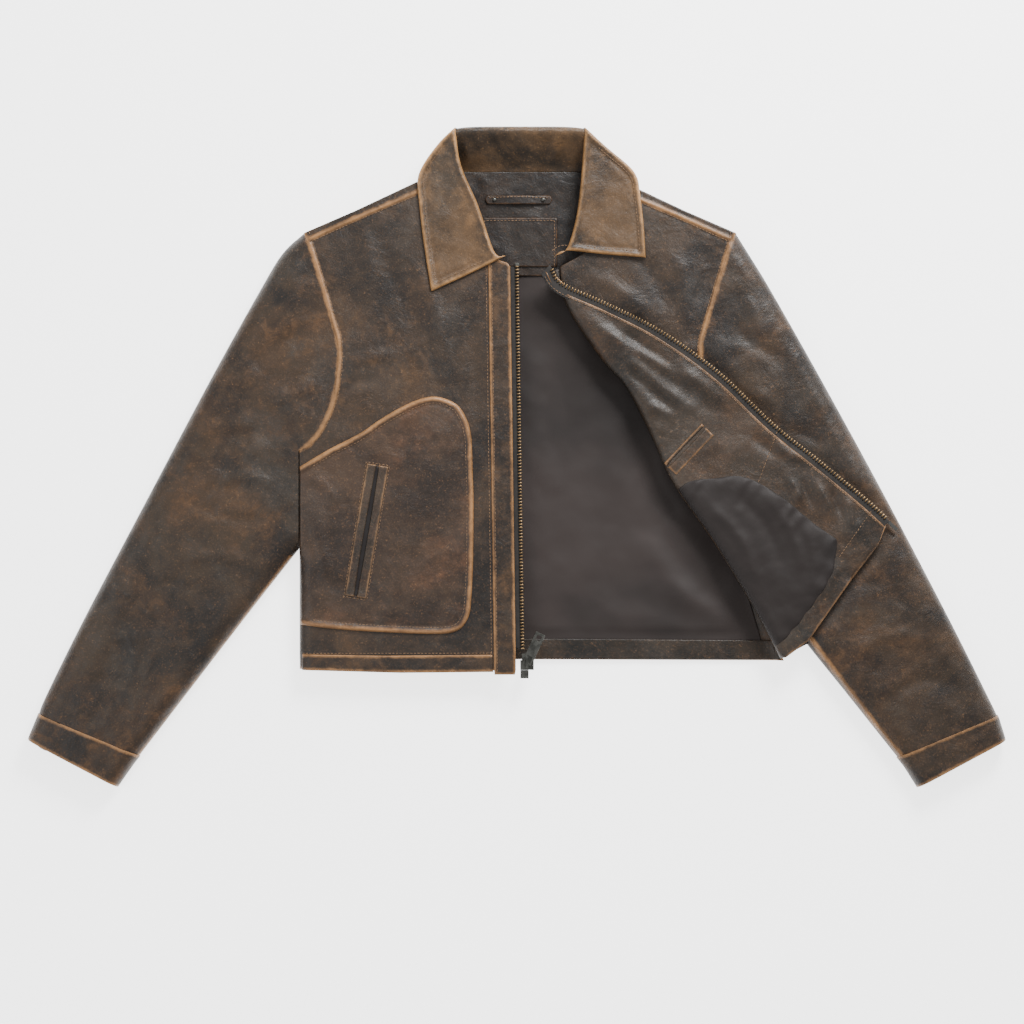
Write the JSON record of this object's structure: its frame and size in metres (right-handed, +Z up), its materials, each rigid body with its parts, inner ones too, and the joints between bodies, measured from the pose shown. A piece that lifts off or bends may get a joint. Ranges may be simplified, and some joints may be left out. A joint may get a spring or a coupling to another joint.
{
  "type": "leather riding jacket",
  "caption": "Cropped leather riding jacket lying flat, zip front with one side turned back, point collar, piped pocket panel and satin lining.",
  "frame": {"origin": "on the flat underside of the back panel, on the centre line, 250 mm above the front hem line", "axes": "+X towards the wearer's left sleeve, +Y towards the collar, +Z up out of the open front"},
  "size_m": [1.0815, 0.728, 0.0365],
  "materials": {
    "shell_leather": "waxed and mottled, burnished at the seams",
    "collar_leather": "waxed, rubbed lighter than the body",
    "facing_leather": "smooth waxed inner facing",
    "edge_leather": "burnished edge",
    "lining_satin": "satin",
    "zip_tape": "woven tape",
    "zip_brass": "antique",
    "gunmetal": "dark plated"
  },
  "bodies": {
    "torso": {"back_panel": "shell_leather", "back_lining": "lining_satin", "back_hem_facing": "facing_leather", "back_neck_facing": "facing_leather", "label_patch": "facing_leather", "hanger_loop": "shell_leather", "hanger_stud_right": "zip_brass", "hanger_stud_left": "zip_brass", "right_front_panel": "shell_leather", "right_pocket_panel": "shell_leather", "right_pocket_rim": "edge_leather", "right_welt_lip_outer": "shell_leather", "right_welt_lip_inner": "shell_leather", "right_pocket_bag": "lining_satin", "right_hem_band": "shell_leather", "right_placket": "shell_leather", "right_zip_tape": "zip_tape", "right_front_facing": "facing_leather", "right_front_lining": "lining_satin", "right_zip_teeth": "zip_brass", "zip_top_stop": "gunmetal", "zip_retainer_box": "gunmetal", "left_front_yoke": "shell_leather", "left_yoke_lining": "lining_satin", "collar_stand": "collar_leather", "collar_fall": "collar_leather"},
    "left_front": {"left_front_panel": "shell_leather", "left_front_facing": "facing_leather", "left_front_lining": "lining_satin", "left_hem_facing": "facing_leather", "inner_welt_lip_upper": "facing_leather", "inner_welt_lip_lower": "facing_leather", "left_pocket_bag": "lining_satin", "left_zip_tape": "zip_tape", "left_zip_teeth": "zip_brass", "insertion_pin": "gunmetal", "left_pocket_panel": "shell_leather"},
    "zip_slider": {"slider_body": "gunmetal"},
    "zip_pull": {"pull_tab": "gunmetal"},
    "right_collar": {"right_collar_leaf": "collar_leather"},
    "left_collar": {"left_collar_leaf": "collar_leather"},
    "right_sleeve": {"right_top_sleeve": "shell_leather", "right_under_sleeve": "shell_leather", "right_sleeve_lining": "lining_satin", "right_cuff_band": "shell_leather"},
    "left_sleeve": {"left_top_sleeve": "shell_leather", "left_under_sleeve": "shell_leather", "left_sleeve_lining": "lining_satin", "left_cuff_band": "shell_leather"}
  },
  "joints": [
    {"name": "left_front_fold", "type": "hinge", "parent": "torso", "child": "left_front", "pos_m": [0.029, 0.1955, 0.02875], "axis": [0.4454, -0.8953, 0], "range_deg": [0, 174]},
    {"name": "zip_slide", "type": "slide", "parent": "torso", "child": "zip_slider", "axis": [-0.0143, 0.9999, 0], "range_m": [0, 0.4]},
    {"name": "pull_flip", "type": "hinge", "parent": "zip_slider", "child": "zip_pull", "pos_m": [0.00747, -0.24045, 0.0303], "axis": [0.9063, -0.4226, 0], "range_deg": [0, 150]},
    {"name": "right_collar_flip", "type": "hinge", "parent": "torso", "child": "right_collar", "pos_m": [-0.0154, 0.2076, 0.0267], "axis": [-0.3799, 0.925, 0], "range_deg": [0, 110]},
    {"name": "left_collar_flip", "type": "hinge", "parent": "torso", "child": "left_collar", "pos_m": [0.037, 0.2065, 0.0267], "axis": [-0.2352, -0.9719, 0], "range_deg": [0, 110]},
    {"name": "right_sleeve_swing", "type": "hinge", "parent": "torso", "child": "right_sleeve", "pos_m": [-0.2376, 0.233, 0.015], "axis": [0, 0, -1], "range_deg": [0, 20]},
    {"name": "left_sleeve_swing", "type": "hinge", "parent": "torso", "child": "left_sleeve", "pos_m": [0.2376, 0.233, 0.015], "axis": [0, 0, 1], "range_deg": [0, 20]}
  ]
}
